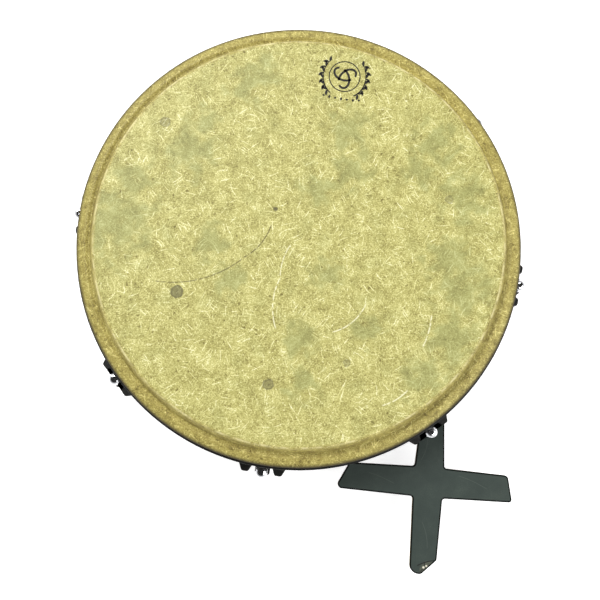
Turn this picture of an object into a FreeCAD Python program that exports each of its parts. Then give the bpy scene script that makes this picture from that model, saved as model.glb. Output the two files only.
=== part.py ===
"""Bodhran tuned with a hex key, 16 inches across, lying on its back rim with the head up.

The origin is on the drum's axis in the plane of the back rim, +Z points to the head,
+X and +Y are the right and the top of the drum as a player sees its face.
Lengths are millimetres. Every driving size is a named cell of the sheet "Sizes".
"""
import FreeCAD, Part
import math
import os
import Sketcher

UP = FreeCAD.Vector(0, 0, 1)
STATIONS = 8
PLATE_STATION = 7
CROSSBAR_ENDS = 4
HEX = 6

SIZES = {
    # turned shell
    "shell_r": 203.2,
    "shell_wall": 8.0,
    "shell_depth": 114.3,
    "bearing_bevel": 5.5,
    "bearing_flat": 3.2,
    "bearing_round": 2.6,
    "back_round": 1.6,
    # head film: radii of its corners, and how far each lies below the crest
    "film": 0.5,
    "edge_r": 203.7,
    "edge_round": 3.0,
    "valley_r": 208.6,
    "valley_drop": 13.0,
    "valley_round": 2.0,
    "crown_r": 213.5,
    "crown_drop": 10.8,
    "crown_round": 5.0,
    "skirt_r": 222.5,
    "skirt_drop": 14.5,
    "skirt_round": 3.5,
    "skirt_end": 25.0,
    # counterhoop, a rolled channel under the collar of the film
    "hoop_gap": 0.5,
    "hoop_metal": 2.4,
    "hoop_lip_r": 209.8,
    "hoop_lip_drop": 17.4,
    "flange_r": 225.8,
    "flange_drop": 28.2,
    "hoop_bottom": 30.6,
    # flesh hoop
    "flesh_in_r": 205.4,
    "flesh_out_r": 213.0,
    "flesh_thick": 5.6,
    # ear that hangs from the flange at each tuning station
    "rod_r": 232.0,
    "ear_thick": 5.4,
    "ear_drop": 56.9,
    "hanger_r": 222.8,
    "ear_back_r": 219.5,
    "ear_web_r": 226.4,
    "lump_r": 233.8,
    "lump_tall": 3.6,
    "lump_near": 10.2,
    "lump_far": 24.0,
    "lump_slope": 3.4,
    "lump_round": 2.8,
    "tab_half": 6.0,
    # tension rod and its nut
    "shank_r": 2.74,
    "shank_low": 19.5,
    "rod_head_r": 6.6,
    "rod_head_tall": 5.8,
    "rod_head_round": 4.4,
    "socket_r": 2.9,
    "socket_deep": 3.6,
    "washer_r": 5.6,
    "washer_thick": 1.2,
    "fit_gap": 0.08,
    "rod_nut_tall": 4.6,
    "nut_r": 5.6,
    "nut_low": 18.5,
    "nut_tall": 9.0,
    # lug bracket on the shell
    "lug_gap": 0.05,
    "lug_plate": 4.0,
    "lug_half": 17.0,
    "lug_low": 4.0,
    "lug_high": 40.0,
    "lug_corner": 5.0,
    "boss_half": 7.8,
    "boss_reach": 239.4,
    "boss_corner": 4.6,
    "boss_top": 30.5,
    "boss_low": 16.5,
    "boss_foot_r": 224.0,
    "boss_round": 4.0,
    # screws
    "lug_screw_low": 10.5,
    "lug_screw_high": 34.5,
    "screw_r": 2.4,
    "screw_head_r": 4.4,
    "screw_head": 2.6,
    "screw_washer_r": 5.6,
    "screw_washer": 1.0,
    # crossbars
    "bar_wide": 24.0,
    "bar_thick": 16.0,
    "bar_low": 10.0,
    "bar_round": 5.0,
    "bar_screw": 30.0,
    # cross plate held on one rod
    "plate_x": 133.7,
    "plate_y": -239.2,
    "plate_turn": -4.6,
    "plate_thick": 5.0,
    "plate_left": 88.5,
    "plate_right": 83.5,
    "plate_down": 92.0,
    "plate_up": 74.5,
    "plate_root": 15.2,
    "plate_tip": 13.4,
    "plate_top_tip": 11.6,
    "plate_slant_left": 6.5,
    "plate_slant_right": 3.0,
    "plate_round": 4.5,
    "plate_fillet": 3.0,
    "plate_toe": 1.5,
    "plate_toe_round": 9.0,
    "plate_hole_gap": 0.4,
    "part_gap": 0.3,
    "station_start": 35.8,
}


def make_sheet(doc):
    """Spreadsheet with one named cell for each driving size."""
    sheet = doc.addObject("Spreadsheet::Sheet", "Sizes")
    for row, (name, size) in enumerate(SIZES.items(), 1):
        sheet.set(f"A{row}", name)
        sheet.set(f"B{row}", str(size))
        sheet.setAlias(f"B{row}", name)
    doc.recompute()
    return sheet


def cell(names):
    """Expression that reads sheet cells: cell("a - b") gives "Sizes.a - Sizes.b"."""
    words = []
    for word in names.split():
        bare = word.strip("()")
        words.append(word.replace(bare, "Sizes." + bare) if bare in SIZES else word)
    return " ".join(words)


def size(sheet, names):
    """Value of an expression of sheet cells."""
    return float(sheet.evalExpression(cell(names)))


def station_angle(sheet, number):
    """Angle of a tuning station about the drum's axis; stations count from 1."""
    return size(sheet, "station_start") + (number - 1) * 360.0 / STATIONS


def turned(angle):
    """Placement turned about the drum's axis."""
    return FreeCAD.Placement(FreeCAD.Vector(0, 0, 0), FreeCAD.Rotation(UP, angle))


def new_body(doc, name):
    body = doc.addObject("PartDesign::Body", name)
    body.Label = name
    return body


def origin_plane(body, role):
    return next(item for item in body.Origin.OriginFeatures if item.Role == role)


def new_sketch(body, role, name, height="0", turn=0.0):
    """Empty sketch on an origin plane of its body, raised by height, turned about the upright."""
    sketch = body.newObject("Sketcher::SketchObject", name)
    sketch.AttachmentSupport = [(origin_plane(body, role), "")]
    sketch.MapMode = "FlatFace"
    upright = FreeCAD.Vector(0, 1, 0) if role != "XY_Plane" else UP
    sketch.AttachmentOffset = FreeCAD.Placement(FreeCAD.Vector(), FreeCAD.Rotation(upright, turn))
    sketch.setExpression("AttachmentOffset.Base.z", cell(height))
    return sketch


def pin_point(sketch, edge, end, across, up):
    """Ties one point of a sketch edge to two expressions, measured from the origin."""
    for kind, names in (("DistanceX", across), ("DistanceY", up)):
        value = float(sketch.evalExpression(cell(names)))
        index = sketch.addConstraint(Sketcher.Constraint(kind, -1, 1, edge, end, value))
        sketch.setExpression(f"Constraints[{index}]", cell(names))


def outline(sketch, corners):
    """Closed outline through corners given as (across, up) or (across, up, rounding)."""
    points = []
    for corner in corners:
        across = float(sketch.evalExpression(cell(corner[0])))
        up = float(sketch.evalExpression(cell(corner[1])))
        points.append(FreeCAD.Vector(across, up, 0))
    count = len(points)
    for first in range(count):
        sketch.addGeometry(Part.LineSegment(points[first], points[(first + 1) % count]), False)
    for first in range(count):
        sketch.addConstraint(Sketcher.Constraint("Coincident", first, 2, (first + 1) % count, 1))
        pin_point(sketch, first, 1, corners[first][0], corners[first][1])
    for here, corner in enumerate(corners):
        if len(corner) > 2:
            round_corner(sketch, points, here, corner[2])


def round_corner(sketch, points, here, rounding):
    """Rounds one corner of an outline and keeps its sharp corner as a tied point."""
    before = (here - 1) % len(points)
    after = (here + 1) % len(points)
    radius = float(sketch.evalExpression(cell(rounding)))
    near_before = (points[before] + points[here]) * 0.5
    near_after = (points[here] + points[after]) * 0.5
    sketch.fillet(before, here, near_before, near_after, radius, True, True)
    arc = sketch.GeometryCount - 2
    index = sketch.addConstraint(Sketcher.Constraint("Radius", arc, radius))
    sketch.setExpression(f"Constraints[{index}]", cell(rounding))


def ring_hole(sketch, across, up, radius):
    """Circle with its centre and radius tied to expressions."""
    centre = FreeCAD.Vector(
        float(sketch.evalExpression(cell(across))), float(sketch.evalExpression(cell(up))), 0
    )
    value = float(sketch.evalExpression(cell(radius)))
    edge = sketch.addGeometry(Part.Circle(centre, UP, value), False)
    pin_point(sketch, edge, 3, across, up)
    index = sketch.addConstraint(Sketcher.Constraint("Radius", edge, value))
    sketch.setExpression(f"Constraints[{index}]", cell(radius))


def revolve(body, sketch, name="Turned"):
    """Turns an outline drawn in the XZ plane about the body's own Z axis."""
    feature = body.newObject("PartDesign::Revolution", name)
    feature.Profile = sketch
    feature.ReferenceAxis = (sketch, ["V_Axis"])
    feature.Angle = 360.0
    return feature


def pad(body, sketch, length, name="Pad", symmetric=False):
    feature = body.newObject("PartDesign::Pad", name)
    feature.Profile = sketch
    feature.setExpression("Length", cell(length))
    feature.Midplane = symmetric
    return feature


def pocket(body, sketch, length, name="Pocket", reverse=False):
    feature = body.newObject("PartDesign::Pocket", name)
    feature.Profile = sketch
    feature.setExpression("Length", cell(length))
    feature.Reversed = reverse
    return feature


def polar(body, feature, count, name="Around"):
    """Repeats a feature evenly about the body's Z axis."""
    pattern = body.newObject("PartDesign::PolarPattern", name)
    pattern.Originals = [feature]
    z_axis = next(item for item in body.Origin.OriginFeatures if item.Role == "Z_Axis")
    pattern.Axis = (z_axis, [""])
    pattern.Angle = 360.0
    pattern.Occurrences = count
    body.Tip = pattern
    return pattern


def cylinder(doc, name, radius, height, base, axis=UP):
    item = doc.addObject("Part::Cylinder", name)
    item.setExpression("Radius", cell(radius))
    item.setExpression("Height", cell(height))
    item.Placement = FreeCAD.Placement(base, FreeCAD.Rotation(UP, axis))
    return item


def cut(doc, name, base, tool):
    item = doc.addObject("Part::Cut", name)
    item.Base = base
    item.Tool = tool
    return item


def fuse(doc, name, pieces):
    item = doc.addObject("Part::MultiFuse", name)
    item.Shapes = pieces
    return item


def group(doc, name, pieces):
    """One node that holds several separate solids."""
    item = doc.addObject("Part::Compound", name)
    item.Links = pieces
    item.Label = name
    return item


def around(angle, radius, height):
    """Point at an angle, a radius and a height about the drum's axis."""
    turn = math.radians(angle)
    return FreeCAD.Vector(radius * math.cos(turn), radius * math.sin(turn), height)


def outward(angle):
    return around(angle, 1.0, 0.0)


def make_shell(doc, sheet):
    """Turned wooden shell with a bevelled bearing edge and its screw holes."""
    body = new_body(doc, "shell")
    profile = new_sketch(body, "XZ_Plane", "ShellProfile")
    outline(profile, [
        ("shell_r - shell_wall", "0", "back_round"),
        ("shell_r", "0", "back_round"),
        ("shell_r", "shell_depth", "bearing_round"),
        ("shell_r - bearing_flat", "shell_depth"),
        ("shell_r - shell_wall", "shell_depth - bearing_bevel"),
    ])
    revolve(body, profile)
    lug_holes = new_sketch(body, "YZ_Plane", "LugScrewHoles")
    ring_hole(lug_holes, "0", "lug_screw_low", "screw_r")
    ring_hole(lug_holes, "0", "lug_screw_high", "screw_r")
    holes = pocket(body, lug_holes, "shell_r + shell_wall", "LugScrewHole", reverse=True)
    polar(body, holes, STATIONS, "LugScrewHolesAround")
    half_gap = 180.0 / STATIONS
    bar_holes = new_sketch(body, "YZ_Plane", "BarScrewHoles", turn=half_gap)
    ring_hole(bar_holes, "0", "bar_low + bar_thick / 2", "screw_r")
    holes = pocket(body, bar_holes, "shell_r + shell_wall", "BarScrewHole", reverse=True)
    polar(body, holes, CROSSBAR_ENDS, "BarScrewHolesAround")
    body.Placement = turned(station_angle(sheet, 1))
    return body


FILM_CORNERS = [
    ("0", "0", None),
    ("edge_r", "0", "edge_round"),
    ("valley_r", "valley_drop", "valley_round"),
    ("crown_r", "crown_drop", "crown_round"),
    ("skirt_r", "skirt_drop", "skirt_round"),
    ("skirt_r", "skirt_end", None),
]


def mitre(before, here, after):
    """Shift of a corner, per millimetre of thickness, that keeps a skin even on both sides."""
    normals = []
    for start, end in ((before, here), (here, after)):
        run = end - start
        if run.Length > 0:
            normals.append(FreeCAD.Vector(-run.y, run.x, 0).normalize())
    total = normals[0] + normals[-1]
    return total * (1.0 / (1.0 + normals[0].dot(normals[-1])))


def make_head_film(doc, sheet):
    """Head film: flat over the bearing edge, down to a valley, over the hoop and down its skirt."""
    body = new_body(doc, "head_film")
    under = []
    points = []
    for radius, drop, rounding in FILM_CORNERS:
        under.append((radius, f"shell_depth - {drop}", rounding))
        points.append(FreeCAD.Vector(size(sheet, radius), -size(sheet, drop), 0))
    over = []
    last = len(points) - 1
    for index, (radius, height, rounding) in enumerate(under):
        shift = mitre(points[max(index - 1, 0)], points[index], points[min(index + 1, last)])
        across = f"{radius} + film * {shift.x:.4f}" if index else "0"
        over.append((across, f"{height} + film * {shift.y:.4f}", rounding))
    corners = []
    for corner in under + over[::-1]:
        corners.append(corner if corner[2] else corner[:2])
    profile = new_sketch(body, "XZ_Plane", "FilmProfile")
    outline(profile, corners)
    revolve(body, profile)
    return body


def make_counterhoop(doc):
    """Rolled steel channel: lip on the flesh hoop, crowned top, outer wall and bottom flange."""
    body = new_body(doc, "counterhoop")
    profile = new_sketch(body, "XZ_Plane", "HoopProfile")
    top = "shell_depth - crown_drop - hoop_gap"
    wall = "skirt_r - hoop_gap"
    outline(profile, [
        ("hoop_lip_r", "shell_depth - hoop_lip_drop"),
        ("hoop_lip_r", "shell_depth - valley_drop - hoop_gap", "film"),
        ("crown_r", top, "crown_round"),
        (wall, "shell_depth - skirt_drop - hoop_gap", "skirt_round"),
        (wall, "shell_depth - flange_drop"),
        ("flange_r", "shell_depth - flange_drop", "film"),
        ("flange_r", "shell_depth - hoop_bottom", "film"),
        (f"{wall} - hoop_metal", "shell_depth - hoop_bottom", "film"),
        (f"{wall} - hoop_metal", "shell_depth - skirt_drop - hoop_gap - hoop_metal"),
        ("crown_r", f"{top} - hoop_metal"),
        ("hoop_lip_r + hoop_metal", "shell_depth - valley_drop - hoop_gap - hoop_metal"),
        ("hoop_lip_r + hoop_metal", "shell_depth - hoop_lip_drop"),
    ])
    revolve(body, profile)
    return body


def make_flesh_hoop(doc):
    """Ring that the film is bonded to; the lip of the counterhoop presses on it."""
    body = new_body(doc, "flesh_hoop")
    profile = new_sketch(body, "XZ_Plane", "FleshProfile")
    high = "shell_depth - hoop_lip_drop"
    low = f"{high} - flesh_thick"
    outline(profile, [
        ("flesh_in_r", low, "film"),
        ("flesh_out_r", low, "film"),
        ("flesh_out_r", high, "film"),
        ("flesh_in_r", high, "film"),
    ])
    revolve(body, profile)
    return body


def make_ear(doc, sheet, number):
    """Ear that hangs from the hoop's flange: a foot with two lumps and the tab of the rod."""
    body = new_body(doc, f"hoop_ear_{number}")
    low = "shell_depth - ear_drop - ear_thick"
    plan = new_sketch(body, "XY_Plane", "EarPlan", height=low)
    right = [
        ("ear_back_r", "lump_far"),
        ("ear_web_r", "lump_far", "lump_round"),
        ("lump_r", "lump_far - lump_slope", "lump_round"),
        ("lump_r", "lump_near + lump_slope", "lump_round"),
        ("ear_web_r", "lump_near"),
        ("ear_web_r", "tab_half"),
        ("rod_r + tab_half", "tab_half", "tab_half - film"),
    ]
    left = []
    for corner in right[::-1]:
        left.append((corner[0], f"0 - ( {corner[1]} )") + corner[2:])
    outline(plan, right + left)
    pad(body, plan, "ear_thick", "EarBase")
    hanger = new_sketch(body, "XY_Plane", "HangerPlan", height="shell_depth - ear_drop")
    outline(hanger, [
        ("ear_back_r", "0 - lump_far"),
        ("hanger_r", "0 - lump_far"),
        ("hanger_r", "lump_far"),
        ("ear_back_r", "lump_far"),
    ])
    pad(body, hanger, "ear_drop - hoop_bottom", "Hanger")
    hole = new_sketch(body, "XY_Plane", "RodHole", height=low)
    ring_hole(hole, "rod_r", "0", "shank_r + fit_gap")
    pocket(body, hole, "ear_thick", "RodHoleCut", reverse=True)
    for side, sign in (("Left", "0 -"), ("Right", "0 +")):
        add_lump(body, side, sign)
    body.Placement = turned(station_angle(sheet, number))
    return body


def add_lump(body, side, sign):
    """Raised lump on the ear's foot, on one side of the rod."""
    plan = new_sketch(body, "XY_Plane", f"{side}LumpPlan", height="shell_depth - ear_drop")
    corners = [
        ("hanger_r", "lump_far - film"),
        ("ear_web_r", "lump_far - film"),
        ("lump_r - film", "lump_far - lump_slope - film", "lump_round"),
        ("lump_r - film", "lump_near + lump_slope + film", "lump_round"),
        ("ear_web_r", "lump_near + film"),
        ("hanger_r", "lump_near + film"),
    ]
    outline(plan, [(corner[0], f"{sign} ( {corner[1]} )") + corner[2:] for corner in corners])
    pad(body, plan, "lump_tall", f"{side}Lump")


def make_rod(doc, sheet, number):
    """Tension rod with a domed round head and a hex socket in it."""
    body = new_body(doc, f"tension_rod_{number}")
    seat = "shell_depth - ear_drop + washer_thick"
    top = f"{seat} + rod_head_tall"
    profile = new_sketch(body, "XZ_Plane", "RodProfile")
    outline(profile, [
        ("0", "shank_low"),
        ("shank_r - film", "shank_low"),
        ("shank_r", "shank_low + film"),
        ("shank_r", seat),
        ("rod_head_r", seat, "film"),
        ("rod_head_r", top, "rod_head_round"),
        ("0", top),
    ])
    revolve(body, profile)
    socket = new_sketch(body, "XY_Plane", "SocketPlan", height=top)
    outline(socket, hexagon("socket_r"))
    pocket(body, socket, "socket_deep", "HexSocket")
    angle = station_angle(sheet, number)
    body.Placement = FreeCAD.Placement(
        around(angle, size(sheet, "rod_r"), 0), FreeCAD.Rotation(UP, angle)
    )
    return body


def hexagon(radius):
    """Corners of a regular hexagon whose corners lie on a circle of that radius."""
    corners = []
    for corner in range(HEX):
        turn = 2 * math.pi * corner / HEX
        corners.append((f"{radius} * {math.cos(turn):.4f}", f"{radius} * {math.sin(turn):.4f}"))
    return corners


def make_lug(doc, sheet, number):
    """Lug bracket: a plate on the shell and a boss that holds the rod's nut."""
    body = new_body(doc, f"lug_bracket_{number}")
    face = "shell_r + lug_gap"
    plate = new_sketch(body, "YZ_Plane", "LugPlate", height=face)
    outline(plate, [
        ("0 - lug_half", "lug_low", "lug_corner"),
        ("lug_half", "lug_low", "lug_corner"),
        ("lug_half", "lug_high", "lug_corner"),
        ("0 - lug_half", "lug_high", "lug_corner"),
    ])
    pad(body, plate, "lug_plate", "Plate")
    side = new_sketch(body, "XZ_Plane", "BossProfile")
    outline(side, [
        (f"{face} + film", "lug_low + lug_corner"),
        (f"{face} + lug_plate", "lug_low + lug_corner", "boss_round"),
        ("boss_foot_r", "boss_low", "boss_round"),
        ("boss_reach", "boss_low", "film"),
        ("boss_reach", "boss_top", "film"),
        (f"{face} + lug_plate", "boss_top", "boss_round"),
        (f"{face} + lug_plate", "lug_high - lug_corner"),
        (f"{face} + film", "lug_high - lug_corner"),
    ])
    pad(body, side, "boss_half * 2", "Boss", symmetric=True)
    cut_boss_corners(body)
    nut_seat = new_sketch(body, "XY_Plane", "NutSeat", height="boss_low")
    ring_hole(nut_seat, "rod_r", "0", "nut_r")
    pocket(body, nut_seat, "nut_low + nut_tall - boss_low", "NutPocket", reverse=True)
    rod_way = new_sketch(body, "XY_Plane", "RodWay", height="boss_low")
    ring_hole(rod_way, "rod_r", "0", "shank_r + plate_hole_gap")
    pocket(body, rod_way, "boss_top - boss_low", "RodWayCut", reverse=True)
    screws = new_sketch(body, "YZ_Plane", "ScrewHoles")
    ring_hole(screws, "0", "lug_screw_low", "screw_r")
    ring_hole(screws, "0", "lug_screw_high", "screw_r")
    pocket(body, screws, f"{face} + lug_plate", "ScrewHolesCut", reverse=True)
    body.Placement = turned(station_angle(sheet, number))
    return body


def cut_boss_corners(body):
    """Bevels the boss's two upright outer corners."""
    for side, sign in (("Left", "0 -"), ("Right", "0 +")):
        corner = new_sketch(body, "XY_Plane", f"{side}BossCorner", height="boss_low - film")
        outline(corner, [
            ("boss_reach - boss_corner - film", f"{sign} ( boss_half + film )"),
            ("boss_reach + film", f"{sign} ( boss_half + film )"),
            ("boss_reach + film", f"{sign} ( boss_half - boss_corner - film )"),
        ])
        pocket(body, corner, "boss_top - boss_low + film * 2", f"{side}BossBevel", reverse=True)


def make_crossbar(doc, sheet, name, angle, slot_low):
    """Wooden bar across the back, halved where it crosses the other bar."""
    body = new_body(doc, name)
    wide = size(sheet, "bar_wide / 2")
    inside = size(sheet, "shell_r - shell_wall")
    reach = math.sqrt(inside ** 2 - wide ** 2) - size(sheet, "lug_gap")
    section = new_sketch(body, "YZ_Plane", "BarSection")
    outline(section, [
        ("0 - bar_wide / 2", "bar_low", "bar_round"),
        ("bar_wide / 2", "bar_low", "bar_round"),
        ("bar_wide / 2", "bar_low + bar_thick", "bar_round"),
        ("0 - bar_wide / 2", "bar_low + bar_thick", "bar_round"),
    ])
    pad(body, section, f"{2 * reach}", "Bar", symmetric=True)
    slot = new_sketch(body, "XY_Plane", "HalfLap", height=slot_low)
    outline(slot, [
        ("0 - bar_wide / 2", "0 - bar_wide"),
        ("bar_wide / 2", "0 - bar_wide"),
        ("bar_wide / 2", "bar_wide"),
        ("0 - bar_wide / 2", "bar_wide"),
    ])
    pocket(body, slot, "bar_thick / 2", "HalfLapCut", reverse=True)
    ends = new_sketch(body, "YZ_Plane", "PilotHoles", height=f"0 - {reach}")
    ring_hole(ends, "0", "bar_low + bar_thick / 2", "screw_r")
    holes = pocket(body, ends, f"{reach} + bar_screw - shell_r", "PilotHole", reverse=True)
    polar(body, holes, 2, "PilotHolesBothEnds")
    body.Placement = turned(angle)
    return body


def make_rod_washers(doc, sheet):
    """One washer under the head of each rod, on the tab of its ear."""
    pieces = []
    for number in range(1, STATIONS + 1):
        seat = size(sheet, "shell_depth - ear_drop")
        base = around(station_angle(sheet, number), size(sheet, "rod_r"), seat)
        disc = cylinder(doc, "WasherDisc", "washer_r", "washer_thick", base)
        hole = cylinder(doc, "WasherHole", "shank_r + fit_gap", "washer_thick", base)
        pieces.append(cut(doc, "Washer", disc, hole))
    return group(doc, "rod_washers", pieces)


def make_lug_nuts(doc, sheet):
    """One round nut in the boss of each lug bracket."""
    pieces = []
    for number in range(1, STATIONS + 1):
        base = around(station_angle(sheet, number), size(sheet, "rod_r"), size(sheet, "nut_low"))
        barrel = cylinder(doc, "NutBarrel", "nut_r", "nut_tall", base)
        hole = cylinder(doc, "NutHole", "shank_r + fit_gap", "nut_tall", base)
        pieces.append(cut(doc, "Nut", barrel, hole))
    return group(doc, "lug_nuts", pieces)


def lug_screw_places(sheet):
    """Angle and height of each lug screw."""
    for number in range(1, STATIONS + 1):
        for height in ("lug_screw_low", "lug_screw_high"):
            yield station_angle(sheet, number), size(sheet, height)


def washer_seat(sheet):
    """Radius where a flat washer meets the curved inside of the shell."""
    inside = size(sheet, "shell_r - shell_wall")
    return math.sqrt(inside ** 2 - size(sheet, "screw_washer_r") ** 2) - size(sheet, "lug_gap")


def make_lug_screws(doc, sheet):
    """Screws from inside the shell into the lug brackets."""
    pieces = []
    under_head = washer_seat(sheet) - size(sheet, "screw_washer")
    for angle, height in lug_screw_places(sheet):
        start = under_head - size(sheet, "screw_head")
        head = cylinder(doc, "ScrewHead", "screw_head_r", "screw_head",
                        around(angle, start, height), outward(angle))
        length = size(sheet, "shell_r + lug_gap + lug_plate") - under_head
        shank = cylinder(doc, "ScrewShank", "screw_r", f"{length}",
                         around(angle, under_head, height), outward(angle))
        pieces.append(fuse(doc, "Screw", [head, shank]))
    return group(doc, "lug_screws", pieces)


def make_lug_screw_washers(doc, sheet):
    """Washers between the lug screws' heads and the wood."""
    pieces = []
    start = washer_seat(sheet) - size(sheet, "screw_washer")
    for angle, height in lug_screw_places(sheet):
        base = around(angle, start, height)
        disc = cylinder(doc, "InnerDisc", "screw_washer_r", "screw_washer", base, outward(angle))
        hole = cylinder(doc, "InnerHole", "screw_r", "screw_washer", base, outward(angle))
        pieces.append(cut(doc, "InnerWasher", disc, hole))
    return group(doc, "lug_screw_washers", pieces)


def make_crossbar_screws(doc, sheet):
    """Screws from outside the shell into the ends of the crossbars."""
    pieces = []
    height = size(sheet, "bar_low + bar_thick / 2")
    outside = size(sheet, "shell_r + lug_gap")
    for end in range(CROSSBAR_ENDS):
        angle = station_angle(sheet, 1.5 + 2 * end)
        inward = outward(angle) * -1
        head = cylinder(doc, "BarScrewHead", "screw_head_r", "screw_head",
                        around(angle, outside + size(sheet, "screw_head"), height), inward)
        shank = cylinder(doc, "BarScrewShank", "screw_r", "bar_screw",
                         around(angle, outside, height), inward)
        pieces.append(fuse(doc, "BarScrew", [head, shank]))
    return group(doc, "crossbar_screws", pieces)


def plate_top(sheet):
    """Height of the cross plate's upper face, just under the ears."""
    return size(sheet, "shell_depth - ear_drop - ear_thick - part_gap")


def make_cross_plate(doc, sheet):
    """Flat four-armed plate whose upper arm is held on one rod, below its ear."""
    body = new_body(doc, "cross_plate")
    low = plate_top(sheet) - size(sheet, "plate_thick")
    placing = FreeCAD.Placement(
        FreeCAD.Vector(size(sheet, "plate_x"), size(sheet, "plate_y"), low),
        FreeCAD.Rotation(UP, size(sheet, "plate_turn")),
    )
    plan = new_sketch(body, "XY_Plane", "PlatePlan")
    outline(plan, [
        ("plate_root", "plate_root", "plate_fillet"),
        ("plate_top_tip", "plate_up", "plate_round"),
        ("0 - plate_top_tip", "plate_up", "plate_round"),
        ("0 - plate_root", "plate_root", "plate_fillet"),
        ("plate_slant_left - plate_left", "plate_tip", "plate_fillet"),
        ("0 - plate_slant_left - plate_left", "0 - plate_tip", "plate_round"),
        ("0 - plate_root", "0 - plate_root", "plate_fillet"),
        ("0 - plate_tip", "0 - plate_down", "plate_toe_round"),
        ("0 - plate_toe", "0 - plate_down", "plate_round"),
        ("plate_tip", "plate_tip + plate_toe - plate_down", "plate_fillet"),
        ("plate_root", "0 - plate_root", "plate_fillet"),
        ("plate_right + plate_slant_right", "0 - plate_tip", "plate_fillet"),
        ("plate_right - plate_slant_right", "plate_tip", "plate_round"),
    ])
    pad(body, plan, "plate_thick", "Plate")
    rod = around(station_angle(sheet, PLATE_STATION), size(sheet, "rod_r"), 0)
    spot = placing.inverse().multVec(rod)
    hole = new_sketch(body, "XY_Plane", "RodHole")
    ring_hole(hole, f"{spot.x:.3f}", f"{spot.y:.3f}", "shank_r + plate_hole_gap")
    pocket(body, hole, "plate_thick", "RodHoleCut", reverse=True)
    body.Placement = placing
    return body


def make_plate_fixings(doc, sheet):
    """Washer and nut on the rod that keep the cross plate up against the ear."""
    spot = station_angle(sheet, PLATE_STATION)
    top = plate_top(sheet) - size(sheet, "plate_thick + part_gap + washer_thick")
    base = around(spot, size(sheet, "rod_r"), top)
    disc = cylinder(doc, "PlateDisc", "washer_r", "washer_thick", base)
    hole = cylinder(doc, "PlateDiscHole", "shank_r + fit_gap", "washer_thick", base)
    washer = cut(doc, "plate_washer", disc, hole)
    nut_base = around(spot, size(sheet, "rod_r"), top - size(sheet, "rod_nut_tall"))
    blank = doc.addObject("Part::Prism", "PlateNutBlank")
    blank.Polygon = HEX
    blank.setExpression("Circumradius", cell("washer_r - film"))
    blank.setExpression("Height", cell("rod_nut_tall"))
    blank.Placement = FreeCAD.Placement(nut_base, FreeCAD.Rotation(UP, spot))
    bore = cylinder(doc, "PlateNutBore", "shank_r + fit_gap", "rod_nut_tall", nut_base)
    nut = cut(doc, "plate_nut", blank, bore)
    washer.Label = "plate_washer"
    nut.Label = "plate_nut"
    return [washer, nut]


def check(doc, nodes):
    """Stops with a message if any feature failed or any node is not a sound solid."""
    for item in doc.Objects:
        if "Invalid" in item.State or "Error" in item.State:
            raise RuntimeError(f"{item.Name} failed: {item.State}")
    for node in nodes:
        if node.Shape.isNull() or not node.Shape.isValid() or node.Shape.Volume <= 0:
            raise RuntimeError(f"{node.Label} has no sound shape")


def main():
    doc = FreeCAD.newDocument("Bodhran")
    sheet = make_sheet(doc)
    nodes = [make_shell(doc, sheet), make_head_film(doc, sheet)]
    nodes += [make_counterhoop(doc), make_flesh_hoop(doc)]
    for number in range(1, STATIONS + 1):
        nodes.append(make_ear(doc, sheet, number))
        nodes.append(make_rod(doc, sheet, number))
        nodes.append(make_lug(doc, sheet, number))
    nodes += [make_rod_washers(doc, sheet), make_lug_nuts(doc, sheet)]
    nodes += [make_lug_screws(doc, sheet), make_lug_screw_washers(doc, sheet)]
    bar_angle = station_angle(sheet, 1.5)
    middle = "bar_low + bar_thick / 2"
    nodes.append(make_crossbar(doc, sheet, "crossbar_lower", bar_angle, middle))
    nodes.append(make_crossbar(doc, sheet, "crossbar_upper", bar_angle + 90.0, "bar_low"))
    nodes.append(make_crossbar_screws(doc, sheet))
    nodes.append(make_cross_plate(doc, sheet))
    nodes += make_plate_fixings(doc, sheet)
    doc.recompute()
    check(doc, nodes)
    os.makedirs("parts", exist_ok=True)
    for node in nodes:
        node.Shape.exportStep(f"parts/{node.Label}.step")
        box = node.Shape.BoundBox
        print(f"{node.Label}: {len(node.Shape.Solids)} solids, {node.Shape.Volume / 1000:.2f} cm3, "
              f"z {box.ZMin:.2f} to {box.ZMax:.2f}")


main()
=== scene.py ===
"""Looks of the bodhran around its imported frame.

Lengths are metres in the row frame: the back rim lies in z = 0, +Z points to the head, +X and +Y
are the right and the top of the drum's face. Textures are worked out in millimetres.
"""
import bmesh
import bpy
import math
from mathutils import Euler, Matrix, Vector, noise


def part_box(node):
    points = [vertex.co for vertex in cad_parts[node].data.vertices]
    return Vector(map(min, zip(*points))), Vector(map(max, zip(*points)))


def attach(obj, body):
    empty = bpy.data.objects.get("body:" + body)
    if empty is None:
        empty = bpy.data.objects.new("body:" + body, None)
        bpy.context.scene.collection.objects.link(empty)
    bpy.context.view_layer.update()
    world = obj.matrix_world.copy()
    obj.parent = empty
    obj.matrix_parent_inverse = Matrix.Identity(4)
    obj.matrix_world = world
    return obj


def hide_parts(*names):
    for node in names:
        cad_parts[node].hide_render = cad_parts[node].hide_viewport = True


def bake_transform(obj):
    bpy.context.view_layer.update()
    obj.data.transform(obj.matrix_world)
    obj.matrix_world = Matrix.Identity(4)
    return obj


MM = 0.001
STATIONS = 8
WHITE = (1.0, 1.0, 1.0, 1.0)

# camera, from where the drum's rims and rods have to show
CAMERA_PLACE = (0.0002, -0.1673, 1.0143)
CAMERA_TURN = (6.82, -0.11, 0.23)
FOCAL_SHARE = 927.0 / 600.0
SENSOR = 36.0
FARTHEST_SEEN = 150.0

# studio: name, place, width and power of each light; all are aimed at the drum's middle
LIGHTS = [
    ("key", (-0.9, 1.2, 2.2), 1.4, 57.0),
    ("fill", (1.2, -0.6, 1.8), 1.6, 24.0),
]
LIGHTS_AIM = (0, 0, 0.1)
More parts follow.
